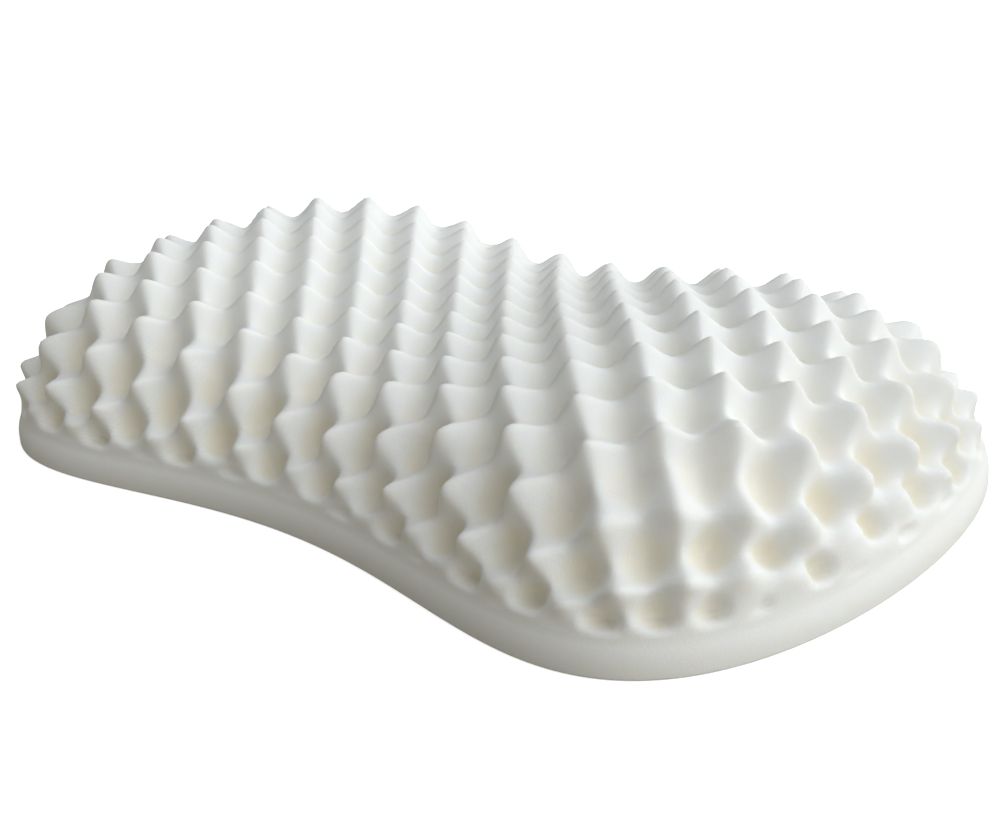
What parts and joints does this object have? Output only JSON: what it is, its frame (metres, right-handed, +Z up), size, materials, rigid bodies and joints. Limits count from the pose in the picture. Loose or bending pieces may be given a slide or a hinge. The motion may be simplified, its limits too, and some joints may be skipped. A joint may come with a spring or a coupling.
{
  "type": "latex pillow",
  "caption": "One-piece moulded latex foam pillow with a waisted bean outline, flat underside, low smooth rim and a twin-lobed crown of soft pointed bumps.",
  "frame": {"origin": "centre of the bounding box on the flat underside", "axes": "+X along the pillow's length, +Z up out of the flat underside, the deeper waist of the bean outline on the -Y side"},
  "size_m": [0.58, 0.349, 0.1139],
  "materials": {
    "latex_foam": "matt off-white latex foam with very fine closed pores and soft moulded edges"
  },
  "bodies": {
    "root": {"pillow": "latex_foam"}
  },
  "joints": []
}
